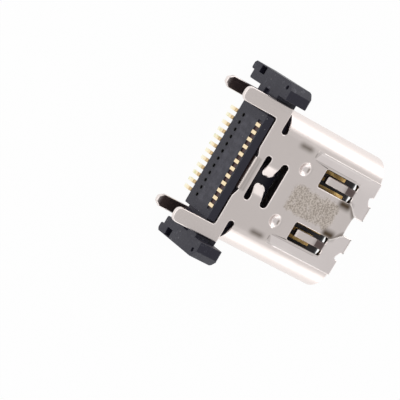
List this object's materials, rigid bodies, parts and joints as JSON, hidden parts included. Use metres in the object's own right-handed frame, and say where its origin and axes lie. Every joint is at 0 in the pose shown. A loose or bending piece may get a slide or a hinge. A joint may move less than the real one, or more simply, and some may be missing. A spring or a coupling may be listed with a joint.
{
  "type": "usb-c socket",
  "caption": "Upright board socket: a folded steel shell with board legs, windows and springs over a black moulded base, and a flat tongue with gold contacts that end in solder feet.",
  "frame": {"origin": "centre of the base's board side, on the board plane", "axes": "+Y away from the board and out of the mouth, +Z normal to the wide face that has the latch cut-out, X along the contact rows"},
  "size_m": [0.012, 0.0118, 0.0051],
  "materials": {
    "shell_steel": "satin nickel plate on folded steel sheet, with rounded bright cut edges",
    "base_plastic": "black glass-filled moulding, fine matte grain",
    "tongue_plastic": "black moulding, smooth",
    "plate_steel": "stamped stainless sheet",
    "contact_gold": "gold plate on copper alloy"
  },
  "bodies": {
    "root": {"shell": "shell_steel", "base_housing": "base_plastic", "tongue_core": "tongue_plastic", "mid_plate": "plate_steel", "ground_pad_upper": "plate_steel", "ground_pad_lower": "plate_steel", "contact_a1": "contact_gold", "contact_a2": "contact_gold", "contact_a3": "contact_gold", "contact_a4": "contact_gold", "contact_a5": "contact_gold", "contact_a6": "contact_gold", "contact_a7": "contact_gold", "contact_a8": "contact_gold", "contact_a9": "contact_gold", "contact_a10": "contact_gold", "contact_a11": "contact_gold", "contact_a12": "contact_gold", "contact_b1": "contact_gold", "contact_b2": "contact_gold", "contact_b3": "contact_gold", "contact_b4": "contact_gold", "contact_b5": "contact_gold", "contact_b6": "contact_gold", "contact_b7": "contact_gold", "contact_b8": "contact_gold", "contact_b9": "contact_gold", "contact_b10": "contact_gold", "contact_b11": "contact_gold", "contact_b12": "contact_gold"}
  },
  "joints": []
}
